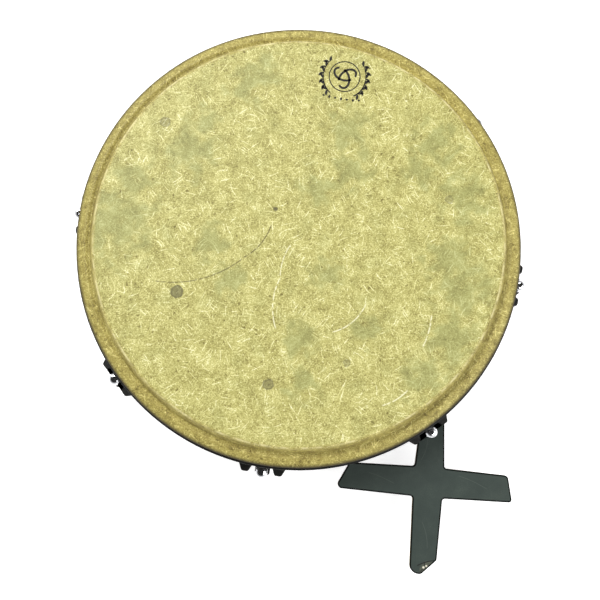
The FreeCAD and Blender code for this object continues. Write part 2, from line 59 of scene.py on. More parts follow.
# room: how far a direction points upwards where the pale walls end and the dark ceiling is full
WALLS_END = 0.38
CEILING_FULL = 0.86
WALL_COLOUR = (0.94, 0.95, 0.96, 1.0)
CEILING_COLOUR = (0.025, 0.025, 0.025, 1.0)
FLOOR_HALF = 40.0
FLOOR_DROP = 0.5 * MM
FLOOR_GLOW = 0.68

# film: radii of its corners and how far each lies below its flat top, as in the CAD film
FILM_THICK = 0.35 * MM
FILM_SINK = 0.15 * MM
CREST_R = 203.7 * MM
CREST_ROUND = 3.0 * MM
VALLEY_R = 208.6 * MM
VALLEY_DROP = 13.0 * MM
VALLEY_ROUND = 2.0 * MM
CROWN_R = 213.5 * MM
CROWN_DROP = 10.8 * MM
CROWN_ROUND = 5.0 * MM
SKIRT_DROP = 14.5 * MM
SKIRT_ROUND = 3.5 * MM
# mesh of the film: points around it, the share of the crest's radius that counts as flat, and the
# widest steps on the flat and on the collar
AROUND = 480
FLAT_SHARE = 0.97
FLAT_STEP = 3.0 * MM
COLLAR_STEP = 0.9 * MM
# room kept to the CAD film's box at the skirt and at its hem
SKIRT_ROOM = 0.12 * MM
HEM_ROOM = 0.1 * MM
# waves of the moulded skirt: their heights and rates, its shrink, and the depths they grow between
SLOW_WAVE = 0.16 * MM
SLOW_RATE = 3.0
QUICK_WAVE = 0.10 * MM
QUICK_RATE = 11.0
SKIRT_SHRINK = 0.05 * MM
WAVES_START = 8.0 * MM
WAVES_FULL = 20.0 * MM
# how much brighter than its own colour the film shows under the studio's light
FILM_LIGHT = 1.2
# mean of the film's summed texture, and the tint of its calm patches
TEXTURE_MEAN = 0.78
CALM_TINT = (0.75, 0.82, 0.90, 1.0)

# calm, greyer patches of the film, in millimetres: the distance from its centre where they all
# end, then the place and the reach of each
CALM_END = 215
PATCHES = [
    (-37, 174, 17), (-54, 158, 16), (-109, 89, 22), (-182, 18, 36), (-165, 62, 18), (-85, -2, 15),
    (-67, -38, 15), (18, 50, 15), (49, 111, 20), (54, 71, 19), (137, 98, 20), (163, 44, 22),
    (149, -20, 22), (163, -50, 26), (151, -99, 25), (127, -135, 22), (27, -35, 15), (66, -89, 14),
    (0, -96, 17), (3, -141, 14), (-95, 120, 14), (120, 70, 14),
]
# ragged outlines of the patches: size and weight of each noise, then the share of its reach where a
# patch ends and the share it fades over
RAGGED = [(12.0, 1.1), (5.0, 0.6)]
PATCH_END = 1.3
PATCH_FADE = 0.9
MOTTLE_SIZE = 17.0
MOTTLE_SHARE = 0.5
# round marks on the film: place, radius and how dark
SPOTS = [
    (-119, -52, 6.5, 0.75), (-29, -142, 5.5, 0.6), (-23, 31, 2.4, 0.8), (-134, 119, 5.5, 0.45),
    (47, -121, 4.0, 0.4), (149, 41, 4.5, 0.35),
]
SPECKS = [(-143, -98, 1.3), (-134, -136, 1.2), (-84, -139, 1.3), (-39, 183, 1.2), (112, 62, 1.0)]
# curved scratches: start, middle and end, half width, and strength: below 0 dark, above 0 bright
SCRATCHES = [
    ((-27, 15), (-41, -8), (-54, -18), 0.9, -1.0),
    ((-54, -18), (-95, -39), (-143, -41), 0.8, -0.9),
    ((-8, -5), (-15, -19), (-18, -36), 0.8, 0.9),
    ((-18, -38), (-25, -62), (-22, -88), 0.9, 1.0),
    ((66, -63), (54, -80), (33, -91), 0.9, 1.0),
    ((130, -74), (127, -90), (121, -105), 1.0, 1.0),
    ((106, -147), (95, -156), (81, -162), 0.9, 1.0),
]

# cross plate: centre and turn of its arms, the middle of its pale core and the core's half thickness
PLATE_PLACE = (133.7, -239.2)
PLATE_TURN = -4.6
CORE_MIDDLE = 49.45
CORE_HALF = 1.7
PLATE_BORDER = 1.8 * MM
# marks on the plate about its centre: rubbed lines, cracks with half widths, chip and bright specks
RUBBED_LINES = [
    ((-62, 5), (-48, 1), (-35, -4)),
    ((-4, -40), (1, -52), (3, -66)),
    ((30, 9), (44, 5), (60, -2)),
    ((-9, 22), (-5, 32), (-4, 44)),
]
TOE_CRACKS = [
    ((-6, -84), (3, -79.5), (13.4, -77.0), 0.8),
    ((-3, -90), (0.5, -85), (1.5, -79.5), 0.6),
]
TOE_CHIP = (5.5, -87.0, 0.0)
TOE_SPECKS = [(0.6, -85.0, 1.5), (3.4, -83.4, 1.2)]

# rounding of sharp edges
PLATE_ROUNDING = 0.5 * MM
CAST_ROUNDING = 0.6 * MM
MERGE_REACH = 0.005 * MM
FLAT_ANGLE = math.radians(4)
SHARP_ANGLE = math.radians(40)

# printed ornament on the film
MARK_PLACE = (45.5, 167.0)
MARK_TURN = -9.0
MARK_SCALE = 1.15
INK_THICK = 0.10 * MM
INK_SINK = 0.03 * MM
# its parts in millimetres before scaling: sizes of the knot, the ring, the stems, leaves and diamonds
KNOT_REACH = 10.5
KNOT_WIDTH = 1.9
KNOT_GAP = 0.15
RING_R = 13.5
RING_WIDTH = 0.9
STEM_START = 3
STEM_ACROSS = 15.5
STEM_UP = 18.5
LEAF_LENGTH = 5.6
LEAF_WIDTH = 2.3
DIAMOND_STEP = 5.2
DIAMOND_LINE = -20.5
DIAMOND_WIDTH = 2.4
POINT_WIDTH = 0.02

# shell, in millimetres: its radius, and where its bevelled bearing edge starts to show its plies
SHELL_R = 203.0
BEARING_HEIGHTS = (108.6, 109.4)
BEARING_RADII = (200.4, 199.6)


# ---------------------------------------------------------------- node trees


class Shader:
    """Node tree of one material, with a short call for each kind of node."""

    def __init__(self, name):
        self.material = bpy.data.materials.new(name)
        self.material.use_nodes = True
        self.tree = self.material.node_tree
        self.tree.nodes.clear()
        self.surface = self.tree.nodes.new("ShaderNodeBsdfPrincipled")
        output = self.tree.nodes.new("ShaderNodeOutputMaterial")
        self.tree.links.new(self.surface.outputs[0], output.inputs[0])

    def node(self, kind, inputs, **settings):
        """New node; inputs maps socket names or numbers to constants or sockets."""
        item = self.tree.nodes.new(kind)
        for key, value in settings.items():
            setattr(item, key, value)
        for key, value in inputs.items():
            self.put(item.inputs[key], value)
        return item

    def put(self, socket, value):
        if isinstance(value, bpy.types.NodeSocket):
            self.tree.links.new(value, socket)
        else:
            socket.default_value = value

    def finish(self, **values):
        """Sets the surface's sockets; a name's underscores stand for spaces."""
        for key, value in values.items():
            self.put(self.surface.inputs[key.replace("_", " ")], value)
        return self.material

    def place(self):
        """Point on the object at rest, in millimetres."""
        rest = self.node("ShaderNodeTexCoord", {}).outputs["Object"]
        return self.vector("SCALE", rest, 1 / MM)

    def attribute(self, name, socket="Fac"):
        return self.node("ShaderNodeAttribute", {}, attribute_name=name).outputs[socket]

    def math(self, operation, first, second=0.0):
        return self.node("ShaderNodeMath", {0: first, 1: second}, operation=operation).outputs[0]

    def times(self, first, second):
        return self.math("MULTIPLY", first, second)

    def plus(self, first, second):
        return self.math("ADD", first, second)

    def vector(self, operation, first, second=(0.0, 0.0, 0.0)):
        """Vector arithmetic; the result is a number for a product, a length or a distance."""
        key = "Scale" if operation == "SCALE" else 1
        item = self.node("ShaderNodeVectorMath", {0: first, key: second}, operation=operation)
        return item.outputs["Value" if operation in ("DOT_PRODUCT", "LENGTH", "DISTANCE") else 0]

    def distance(self, where, across, up):
        """Distance from a place on the sheet."""
        return self.vector("DISTANCE", where, (across, up, 0.0))

    def split(self, vector):
        return self.node("ShaderNodeSeparateXYZ", {0: vector}).outputs

    def join(self, across, up, depth=0.0):
        return self.node("ShaderNodeCombineXYZ", {0: across, 1: up, 2: depth}).outputs[0]

    def noise(self, where, scale, detail=2.0, rough=0.5, output=0):
        """Noise: output 0 is a number and output 1 a vector."""
        values = {"Vector": where, "Scale": scale, "Detail": detail, "Roughness": rough}
        return self.node("ShaderNodeTexNoise", values).outputs[output]

    def cells(self, where, scale):
        """Distance to the nearest cell's point, and the cell's random values."""
        cell = self.node("ShaderNodeTexVoronoi", {"Vector": where, "Scale": scale},
                         voronoi_dimensions="2D")
        return cell.outputs["Distance"], self.split(cell.outputs["Color"])

    def step(self, value, low, high, to_low=0.0, to_high=1.0):
        """Smooth step: to_low below low and to_high above high; low may be the greater."""
        item = self.node(
            "ShaderNodeMapRange",
            {"Value": value, "From Min": low, "From Max": high, "To Min": to_low, "To Max": to_high},
            interpolation_type="SMOOTHSTEP",
        )
        return item.outputs[0]

    def mix(self, share, first, second, blend="MIX"):
        """Mix of two colours."""
        item = self.node("ShaderNodeMix", {}, data_type="RGBA", blend_type=blend)
        self.put(item.inputs[0], share)
        self.put(item.inputs[6], first)
        self.put(item.inputs[7], second)
        return item.outputs[2]

    def ramp(self, value, stops):
        """Colour ramp through (position, colour) stops."""
        item = self.node("ShaderNodeValToRGB", {0: value})
        elements = item.color_ramp.elements
        while len(elements) < len(stops):
            elements.new(0.5)
        for element, (position, colour) in zip(elements, stops):
            element.position = position
            element.color = colour
        return item.outputs[0]

    def bump(self, height, distance, strength):
        values = {"Height": height, "Distance": distance, "Strength": strength}
        return self.node("ShaderNodeBump", values).outputs[0]


def paint(red, green, blue):
    """Linear colour from display values of 0 to 255."""
    linear = []
    for value in (red, green, blue):
        share = value / 255.0
        linear.append(share / 12.92 if share <= 0.04045 else ((share + 0.055) / 1.055) ** 2.4)
    return (*linear, 1.0)


# ---------------------------------------------------------------- stage


def make_camera():
    """Camera above the drum's lower half, leaning a little towards its top."""
    data = bpy.data.cameras.new("camera")
    data.sensor_width = SENSOR
    data.lens = SENSOR * FOCAL_SHARE
    data.clip_end = FARTHEST_SEEN
    camera = bpy.data.objects.new("camera", data)
    camera.location = CAMERA_PLACE
    camera.rotation_euler = Euler([math.radians(turn) for turn in CAMERA_TURN])
    bpy.context.scene.collection.objects.link(camera)
    bpy.context.scene.camera = camera


def make_light(name, place, width, power):
    """Soft round light aimed at the drum."""
    data = bpy.data.lights.new(name, "AREA")
    data.shape = "DISK"
    data.size = width
    data.energy = power
    light = bpy.data.objects.new(name, data)
    light.location = place
    light.rotation_euler = (Vector(LIGHTS_AIM) - Vector(place)).to_track_quat("-Z", "Y").to_euler()
    bpy.context.scene.collection.objects.link(light)


def make_world():
    """Pale room whose ceiling is darker straight above, as chrome mirrors it."""
    world = bpy.data.worlds.new("room")
    world.use_nodes = True
    bpy.context.scene.world = world
    tree = world.node_tree
    where = tree.nodes.new("ShaderNodeTexCoord").outputs["Generated"]
    height = tree.nodes.new("ShaderNodeSeparateXYZ")
    tree.links.new(where, height.inputs[0])
    ramp = tree.nodes.new("ShaderNodeValToRGB")
    walls, ceiling = ramp.color_ramp.elements
    walls.position = WALLS_END
    walls.color = WALL_COLOUR
    ceiling.position = CEILING_FULL
    ceiling.color = CEILING_COLOUR
    tree.links.new(height.outputs[2], ramp.inputs[0])
    background = next(node for node in tree.nodes if node.type == "BACKGROUND")
    tree.links.new(ramp.outputs[0], background.inputs["Color"])
    background.inputs["Strength"].default_value = 1.0


def make_floor():
    """Wide pale floor just under the drum's back rim."""
    shader = Shader("floor_paint")
    grain = shader.noise(shader.place(), scale=0.02, detail=3.0)
    shade = shader.mix(grain, (0.90, 0.90, 0.89, 1.0), (0.93, 0.93, 0.92, 1.0))
    material = shader.finish(Base_Color=shade, Roughness=0.9, Specular_IOR_Level=0.1,
                             Emission_Color=WHITE, Emission_Strength=FLOOR_GLOW)
    signs = ((-1, -1), (1, -1), (1, 1), (-1, 1))
    corners = [(FLOOR_HALF * across, FLOOR_HALF * up, -FLOOR_DROP) for across, up in signs]
    floor = new_piece("floor", corners, [(0, 1, 2, 3)], material)


# ---------------------------------------------------------------- film


def rounded(corners, steps=6):
    """Polyline through (radius, height, rounding) corners with each corner an arc."""
    line = []
    for index, (radius, height, rounding) in enumerate(corners):
        here = Vector((radius, height))
        if not rounding:
            line.append(here)
            continue
        before = (Vector(corners[index - 1][:2]) - here).normalized()
        after = (Vector(corners[index + 1][:2]) - here).normalized()
        half = before.angle(after) / 2
        centre = here + (before + after).normalized() * (rounding / math.sin(half))
        first = here + before * (rounding / math.tan(half)) - centre
        last = here + after * (rounding / math.tan(half)) - centre
        for step in range(steps + 1):
            share = step / steps
            line.append(centre + (first * (1 - share) + last * share).normalized() * rounding)
    return line


def spread(line, spacing):
    """Points along a polyline, no further apart than spacing(radius)."""
    points = [line[0]]
    for end in line[1:]:
        start = points[-1]
        count = max(1, math.ceil((end - start).length / spacing(start.x)))
        for step in range(1, count + 1):
            points.append(start.lerp(end, step / count))
    return points


def film_profile(top, skirt_r, skirt_low):
    """Outer line of the film in radius and height, from its centre to the skirt's hem."""
    corners = [
        (0.0, top, None),
        (CREST_R, top, CREST_ROUND),
        (VALLEY_R, top - VALLEY_DROP, VALLEY_ROUND),
        (CROWN_R, top - CROWN_DROP, CROWN_ROUND),
        (skirt_r, top - SKIRT_DROP, SKIRT_ROUND),
        (skirt_r, skirt_low, None),
    ]
    flat_end = CREST_R * FLAT_SHARE
    return spread(rounded(corners), lambda radius: FLAT_STEP if radius < flat_end else COLLAR_STEP)


def new_piece(name, vertices, faces, material):
    """Mesh object with one material, linked to the scene."""
    mesh = bpy.data.meshes.new(name)
    mesh.from_pydata(vertices, [], faces)
    mesh.update()
    piece = bpy.data.objects.new(name, mesh)
    piece.data.materials.append(material)
    bpy.context.scene.collection.objects.link(piece)
    return piece


def smooth(piece):
    for face in piece.data.polygons:
        face.use_smooth = True


def film_ripple(turn, depth):
    """How far the moulded film stands out from its true profile, in metres."""
    skirt = max(0.0, min(1.0, (depth - WAVES_START) / (WAVES_FULL - WAVES_START)))
    ray = Vector((math.cos(turn), math.sin(turn), 0.0))
    slow = noise.noise(ray * SLOW_RATE + Vector((0.0, 0.0, 0.7)))
    quick = noise.noise(ray * QUICK_RATE + Vector((0.0, 0.0, 60.0 * depth)))
    return skirt * (SLOW_WAVE * slow + QUICK_WAVE * quick - SKIRT_SHRINK)


def calmness(place):
    """How calm and grey the film is at a place in millimetres: 0 to 1, by ragged patches."""
    if place.length > CALM_END:
        return 0.0
    ragged = sum(noise.noise(place / size) * weight for size, weight in RAGGED)
    calm = 0.0
    for across, up, reach in PATCHES:
        away = math.hypot(place.x - across, place.y - up) / reach + ragged
        calm = max(calm, min(1.0, max(0.0, (PATCH_END - away) / PATCH_FADE)))
    mottle = noise.noise(place / MOTTLE_SIZE + Vector((0.0, 0.0, 4.0)))
    return min(1.0, calm + max(0.0, mottle) * MOTTLE_SHARE)


def film_points(profile, top):
    """Points of the film's polar grid, their places on the flat film and their rim values."""
    points = [Vector((0.0, 0.0, profile[0].y))]
    flat = [Vector((0.0, 0.0, 0.0))]
    rim = [Vector((0.0, 0.0, calmness(flat[0])))]
    along = 0.0
    for before, corner in zip(profile, profile[1:]):
        along += (corner - before).length
        depth = top - corner.y
        for step in range(AROUND):
            turn = 2 * math.pi * step / AROUND
            ray = Vector((math.cos(turn), math.sin(turn), 0.0))
            points.append(ray * (corner.x + film_ripple(turn, depth)) + Vector((0.0, 0.0, corner.y)))
            flat.append(ray * (along / MM))
            rim.append(Vector((corner.x / MM, depth / MM, calmness(flat[-1]))))
    return points, flat, rim


def film_faces(rings):
    """Faces of the polar grid: a fan about its centre, then quads from ring to ring."""
    faces = [(0, 1 + step, 1 + (step + 1) % AROUND) for step in range(AROUND)]
    for ring in range(rings - 1):
        start = 1 + ring * AROUND
        for step in range(AROUND):
            after = (step + 1) % AROUND
            faces.append((start + step, start + AROUND + step,
                          start + AROUND + after, start + after))
    return faces


def make_film(material):
    """Film of the head: polar grid turned from its profile, closed with its own thickness."""
    low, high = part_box("head_film")
    profile = film_profile(high.z - FILM_SINK, high.x - SKIRT_ROOM, low.z + HEM_ROOM)
    points, flat, rim = film_points(profile, high.z)
    film = new_piece("head_film_skin", points, film_faces(len(profile) - 1), material)
    keep_vectors(film, "sheet", flat)
    keep_vectors(film, "rim", rim)
    close_skin(film, FILM_THICK)
    smooth(film)
    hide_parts("head_film")
    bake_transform(film)


def keep_vectors(piece, name, vectors):
    """Keeps a vector with each vertex: "sheet" is its place on the flat film in millimetres,
    "rim" its radius, its depth below the top and how calm the film is there."""
    attribute = piece.data.attributes.new(name, "FLOAT_VECTOR", "POINT")
    values = []
    for vector in vectors:
        values.extend(vector[:])
    attribute.data.foreach_set("vector", values)


def close_skin(piece, thickness):
    """Gives an open skin its thickness, inwards."""
    solidify = piece.modifiers.new("thickness", "SOLIDIFY")
    solidify.thickness = thickness
    solidify.offset = -1.0
    apply_modifiers(piece)


def apply_modifiers(piece):
    """Makes the modifiers' result the piece's own mesh."""
    bpy.context.view_layer.update()
    graph = bpy.context.evaluated_depsgraph_get()
    piece.data = bpy.data.meshes.new_from_object(piece.evaluated_get(graph))
    piece.modifiers.clear()


def dye(red, green, blue):
    """Film colour that shows as these display values under the studio's light."""
    return (*(share / FILM_LIGHT for share in paint(red, green, blue)[:3]), 1.0)


def film_texture(shader, sheet):
    """Pressed fibres, hairs, grain and dots of the film, as one sum."""
    warp = bend(shader, sheet)
    return weigh(shader, [
        (fibre_mat(shader, warp, ways=5, width=3.0, length=42.0, thick=0.16, share=0.35), 0.44),
        (fibre_mat(shader, warp, ways=6, width=1.9, length=20.0, thick=0.23, share=0.42), 0.24),
        (fibre_mat(shader, sheet, ways=6, width=1.3, length=8.0, thick=0.28, share=0.5), 0.26),
        (dots(shader, sheet, scale=0.45, far=0.36, near=0.16, share=0.4), 0.32),
        (shader.noise(sheet, scale=0.68, detail=1.0, rough=0.6), 0.75),
        (shader.noise(sheet, scale=0.14, detail=3.0, rough=0.65), 0.30),
        (dots(shader, warp, scale=0.19, far=0.34, near=0.12, share=0.25), -0.22),
    ])


def film_material():
    """Moulded film: pressed fibres, fine grain, calm patches, marks of play and ochre collar."""
    shader = Shader("fibre_film")
    sheet = shader.attribute("sheet", "Vector")
    radius, depth, calm = shader.split(shader.attribute("rim", "Vector"))[0:3]
    busy = shader.math("SUBTRACT", 1.0, shader.times(calm, 0.5))
    swing = shader.times(shader.math("SUBTRACT", film_texture(shader, sheet), TEXTURE_MEAN), busy)
    slow = shader.noise(sheet, scale=0.055, detail=4.0, rough=0.65)
    level = weigh(shader, [(swing, 1.0), (slow, 0.62), (calm, -0.12)], start=0.24)
    colour = shader.ramp(level, [
        (0.0, dye(120, 110, 54)),
        (0.35, dye(188, 181, 107)),
        (0.5, dye(211, 205, 131)),
        (0.72, dye(236, 231, 162)),
        (1.0, dye(254, 250, 204)),
    ])
    tint = shader.mix(shader.times(calm, 0.75), WHITE, CALM_TINT)
    colour = shader.mix(1.0, colour, tint, blend="MULTIPLY")
    colour = collar(shader, colour, sheet, radius, depth, level)
    colour = scratches(shader, spots(shader, colour, sheet), sheet)
    gloss = shader.step(level, low=0.2, high=0.9, to_low=0.5, to_high=0.36)
    dull_hem = shader.step(radius, low=218.0, high=222.0, to_low=0.0, to_high=0.9)
    rough = shader.math("MAXIMUM", gloss, dull_hem)
    normal = shader.bump(level, distance=0.25 * MM, strength=0.5)
    return shader.finish(Base_Color=colour, Roughness=rough, Specular_IOR_Level=0.3, Normal=normal)


def weigh(shader, layers, start=0.0):
    """Sum of values, each times its weight."""
    total = start
    for value, weight in layers:
        total = shader.plus(shader.times(value, weight), total)
    return total


def bend(shader, where):
    """Sheet place shifted by a wide and a near noise, so that fibres laid on it curl."""
    pushes = []
    for scale, detail, reach in ((0.025, 1.0, 18.0), (0.065, 0.0, 5.0)):
        push = shader.noise(where, scale, detail, output=1)
        pushes.append(shader.vector("SCALE", shader.vector("SUBTRACT", push, (0.5, 0.5, 0.5)), reach))
    return shader.vector("ADD", where, shader.vector("ADD", *pushes))


def fibre_mat(shader, where, ways, width, length, thick, share):
    """Loose fibres in several directions; thick is a fibre's half width in cells."""
    total = 0.0
    for way in range(ways):
        turn = math.pi * way / ways + 0.13 * width
        along = (math.cos(turn) / length, math.sin(turn) / length, 0.0)
        across = (-math.sin(turn) / width, math.cos(turn) / width, 0.0)
        spot = shader.join(
            shader.plus(shader.vector("DOT_PRODUCT", where, along), 17.3 * way),
            shader.plus(shader.vector("DOT_PRODUCT", where, across), 5.1 * width),
        )
        away, picks = shader.cells(spot, 1.0)
        body = shader.step(away, low=thick, high=thick * 0.5)
        seen = shader.times(body, shader.step(picks[0], low=1 - share, high=1.0))
        total = shader.math("MAXIMUM", seen, total)
    return total


def dots(shader, where, scale, far, near, share):
    """Small round dots in a share of the cells."""
    away, picks = shader.cells(where, scale)
    dot = shader.step(away, low=far, high=near)
    return shader.times(dot, shader.step(picks[1], low=1 - share, high=1.0))


def collar(shader, colour, sheet, radius, depth, level):
    """Ochre band outwards from the flat top, with gold flecks, a painted highlight on its ridge,
    painted shade in its valley and a painted dark brown shade at the hem.
    """
    cloud = shader.noise(sheet, scale=0.16, detail=3.0, rough=0.65)
    fleck = dots(shader, sheet, scale=0.28, far=0.40, near=0.12, share=0.5)
    tone = weigh(shader, [(cloud, 0.6), (level, 0.95), (fleck, 0.30)], start=-0.25)
    ochre = shader.ramp(tone, [
        (0.05, dye(112, 98, 46)),
        (0.4, dye(174, 160, 85)),
        (0.65, dye(198, 185, 107)),
        (1.0, dye(244, 232, 150)),
    ])
    ragged = shader.plus(radius, shader.times(cloud, 3.0))
    colour = shader.mix(shader.step(ragged, low=201.0, high=206.0), colour, ochre)
    # painted highlight: a lighter line along the ridge where the flat top turns down; the noise mask
    # only breaks it up
    worn = shader.step(shader.noise(sheet, scale=0.05, detail=3.0, rough=0.7), low=0.42, high=0.6)
    crest_highlight = shader.times(band(shader, radius, middle=203.0, half=1.3), shader.times(worn, 0.7))
    colour = shader.mix(crest_highlight, colour, dye(236, 226, 166))
    # painted shade: darker colour on the valley's steep wall next to the ridge, broken up by noise
    patchy = shader.noise(sheet, scale=0.06, detail=4.0, rough=0.7)
    crease_shade_breaks = shader.step(patchy, low=0.42, high=0.62, to_low=0.0, to_high=0.6)
    crease_shade = shader.times(band(shader, depth, middle=9.0, half=5.0), crease_shade_breaks)
    inner_crease_shade = shader.times(crease_shade, shader.step(radius, low=209.5, high=208.0))
    colour = shader.mix(inner_crease_shade, colour, dye(126, 110, 58))
    # painted shade: darker brown towards the hem, where the skirt turns away from the light
    hem = shader.step(shader.plus(radius, cloud), low=218.8, high=223.4, to_low=0.0, to_high=0.95)
    hem = shader.times(hem, shader.step(depth, low=18.5, high=22.0, to_low=1.0, to_high=0.45))
    return shader.mix(hem, colour, dye(62, 54, 36))


def band(shader, value, middle, half):
    """1 where the value is at its middle, falling to 0 at half to either side."""
    away = shader.math("ABSOLUTE", shader.math("SUBTRACT", value, middle))
    return shader.step(away, low=half, high=half * 0.35)


def spots(shader, colour, sheet):
    """Round spots with a darker edge and middle, and small specks, left by play."""
    wobble = 3.0
    shape = shader.vector("SCALE", shader.noise(sheet, scale=0.2, output=1), wobble)
    middled = shader.vector("SUBTRACT", shape, (wobble / 2, wobble / 2, 0.0))
    where = shader.vector("ADD", sheet, middled)
    for across, up, reach, dark in SPOTS:
        away = shader.distance(where, across, up)
        disc = shader.step(away, low=reach * 1.12, high=reach * 0.85, to_low=0.0, to_high=dark)
        colour = shader.mix(disc, colour, dye(114, 110, 74))
        edge = shader.times(band(shader, away, middle=reach * 0.92, half=1.0), dark * 0.6)
        colour = shader.mix(edge, colour, dye(84, 79, 50))
        middle = shader.step(away, low=2.0, high=0.8, to_low=0.0, to_high=dark)
        colour = shader.mix(middle, colour, dye(72, 64, 40))
    for across, up, reach in SPECKS:
        away = shader.distance(where, across, up)
        colour = shader.mix(shader.step(away, reach, reach * 0.5), colour, dye(70, 62, 36))
    return colour


def scratches(shader, colour, sheet):
    """Curved scratches, broken here and there."""
    broken = shader.step(shader.noise(sheet, scale=0.25), low=0.34, high=0.5)
    for start, middle, end, half, tone in SCRATCHES:
        line = shader.times(arc(shader, sheet, start, middle, end, half), broken)
        shade = dye(250, 246, 205) if tone > 0 else dye(92, 82, 46)
        colour = shader.mix(shader.times(line, abs(tone) * 0.8), colour, shade)
    return colour


def arc(shader, where, start, middle, end, half):
    """1 on a thin circle arc through three points in millimetres, 0 away from it."""
    first, second, third = Vector(start), Vector(middle), Vector(end)
    across = second - first
    along = third - first
    twice = 2 * (across.x * along.y - across.y * along.x)
    shift = Vector((
        along.y * across.length_squared - across.y * along.length_squared,
        across.x * along.length_squared - along.x * across.length_squared,
    )) / twice
    line = band(shader, shader.distance(where, *(first + shift)), shift.length, half)
    reach = along.length / 2
    away = shader.distance(where, *((first + third) / 2))
    return shader.times(line, shader.step(away, low=reach * 1.05, high=reach * 0.9))


# ---------------------------------------------------------------- ornament


def ribbon(line, width):
    """Flat strip along a line of points, as vertices and faces, pointed where width gives 0."""
    vertices = []
    for index, point in enumerate(line):
        ahead = line[min(index + 1, len(line) - 1)] - line[max(index - 1, 0)]
        side = Vector((-ahead.y, ahead.x)).normalized() * (width(index / (len(line) - 1)) / 2)
        vertices += [point + side, point - side]
    faces = [(2 * i, 2 * i + 1, 2 * i + 3, 2 * i + 2) for i in range(len(line) - 1)]
    return vertices, faces


def knot_strands(reach):
    """Three-lobed knot as strands that stop short where another strand passes over."""
    strands = []
    for lobe in range(3):
        start = math.pi / 6 + lobe * 2 * math.pi / 3
        line = []
        for step in range(41):
            turn = start + KNOT_GAP + (2 * math.pi / 3 - 2 * KNOT_GAP) * step / 40
            line.append(Vector((
                math.sin(turn) + 2 * math.sin(2 * turn),
                math.cos(turn) - 2 * math.cos(2 * turn),
            )) * reach / 3)
        strands.append(line)
    return strands


def leaf(root, heading, length, lean):
    """Middle line of a curved leaf."""
    line = []
    for step in range(9):
        share = step / 8
        turn = heading + lean * share
        line.append(root + Vector((math.cos(turn), math.sin(turn))) * length * share)
    return line


def leaf_width(share):
    """Width of a leaf at a share of its length: pointed at both ends."""
    return LEAF_WIDTH * math.sin(math.pi * share) ** 0.8 + POINT_WIDTH


def diamond_width(share):
    """Width of a diamond at a share of its height."""
    return DIAMOND_WIDTH * (1 - abs(2 * share - 1)) + POINT_WIDTH


def branches():
    """Two leafed stems about the ring, one to each side."""
    strips = []
    for side in (-1, 1):
        stem = []
        for step in range(25):
            turn = math.radians(-62 + 104 * step / 24)
            across = STEM_START + STEM_ACROSS * math.cos(turn)
            stem.append(Vector((side * across, STEM_UP * math.sin(turn))))
        strips.append((stem, lambda share: 1.1 - 0.7 * share))
        for root in stem[3:24:4]:
            for lean in (-0.9, 0.9):
                heading = math.atan2(root.y, root.x) + side * 0.5 + lean
                strips.append((leaf(root, heading, LEAF_LENGTH, -0.35 * side), leaf_width))
    return strips


def diamonds():
    """Row of small diamonds below the ring."""
    strips = []
    for place in range(-3, 4):
        middle = Vector((place * DIAMOND_STEP, DIAMOND_LINE + 0.12 * place * place))
        half = Vector((0, (3.4 if place % 2 == 0 else 2.2) / 2))
        strips.append(([middle - half, middle, middle + half], diamond_width))
    return strips


def ornament_strips():
    """Lines and width rules of the printed ornament, about its own centre in millimetres."""
    strips = [(line, lambda share: KNOT_WIDTH) for line in knot_strands(KNOT_REACH)]
    ring = [Vector((math.cos(i * math.pi / 36), math.sin(i * math.pi / 36))) * RING_R
            for i in range(73)]
    strips.append((ring, lambda share: RING_WIDTH))
    return strips + branches() + diamonds()


def make_ornament(material):
    """Ink of the ornament: thin flat strips on the film."""
    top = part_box("head_film")[1].z
    turn = Matrix.Rotation(math.radians(MARK_TURN), 2)
    vertices = []
    faces = []
    for line, width in ornament_strips():
        points, quads = ribbon(line, width)
        first = len(vertices)
        for point in points:
            place = turn @ point * MARK_SCALE + Vector(MARK_PLACE)
            vertices.append((place.x * MM, place.y * MM, top - INK_SINK))
        faces += [tuple(first + corner for corner in quad) for quad in quads]
    mark = new_piece("head_ornament", vertices, faces, material)
    solidify = mark.modifiers.new("ink", "SOLIDIFY")
    solidify.thickness = INK_THICK
    apply_modifiers(mark)
    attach(mark, "drum")


def ink():
    """Black print, worn thin in places."""
    shader = Shader("printed_ink")
    where = shader.place()
    worn = shader.noise(where, scale=0.7, detail=3.0, rough=0.7)
    shade = shader.ramp(worn, [(0.3, paint(16, 15, 12)), (0.6, paint(34, 32, 24)),
                               (0.78, paint(104, 98, 62))])
    return shader.finish(Base_Color=shade, Roughness=0.45, Specular_IOR_Level=0.3)


# ---------------------------------------------------------------- hardware and wood


def whole_faces(node, border):
    """Copy of a CAD node's mesh whose triangles are merged, with its border marked if it has one."""
    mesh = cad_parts[node].data.copy()
    work = bmesh.new()
    work.from_mesh(mesh)
    bmesh.ops.remove_doubles(work, verts=work.verts, dist=MERGE_REACH)
    bmesh.ops.dissolve_limit(work, angle_limit=FLAT_ANGLE, verts=work.verts, edges=work.edges)
    if border:
        mark_border(work, border)
    work.to_mesh(mesh)
    work.free()
    if mesh.attributes.get("custom_normal"):
        mesh.attributes.remove(mesh.attributes["custom_normal"])
    return mesh


def soften(node, body, width, clamp=True, border=0.0):
    """Copy of a CAD node with its sharp edges rounded, in place of the node."""
    piece = bpy.data.objects.new(f"{node}_soft", whole_faces(node, border))
    bpy.context.scene.collection.objects.link(piece)
    bevel = piece.modifiers.new("edges", "BEVEL")
    bevel.width = width
    bevel.use_clamp_overlap = clamp
    bevel.segments = 2
    bevel.limit_method = "ANGLE"
    bevel.angle_limit = SHARP_ANGLE
    even = piece.modifiers.new("even", "WEIGHTED_NORMAL")
    even.weight = 80
    smooth(piece)
    apply_modifiers(piece)
    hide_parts(node)
    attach(piece, body)


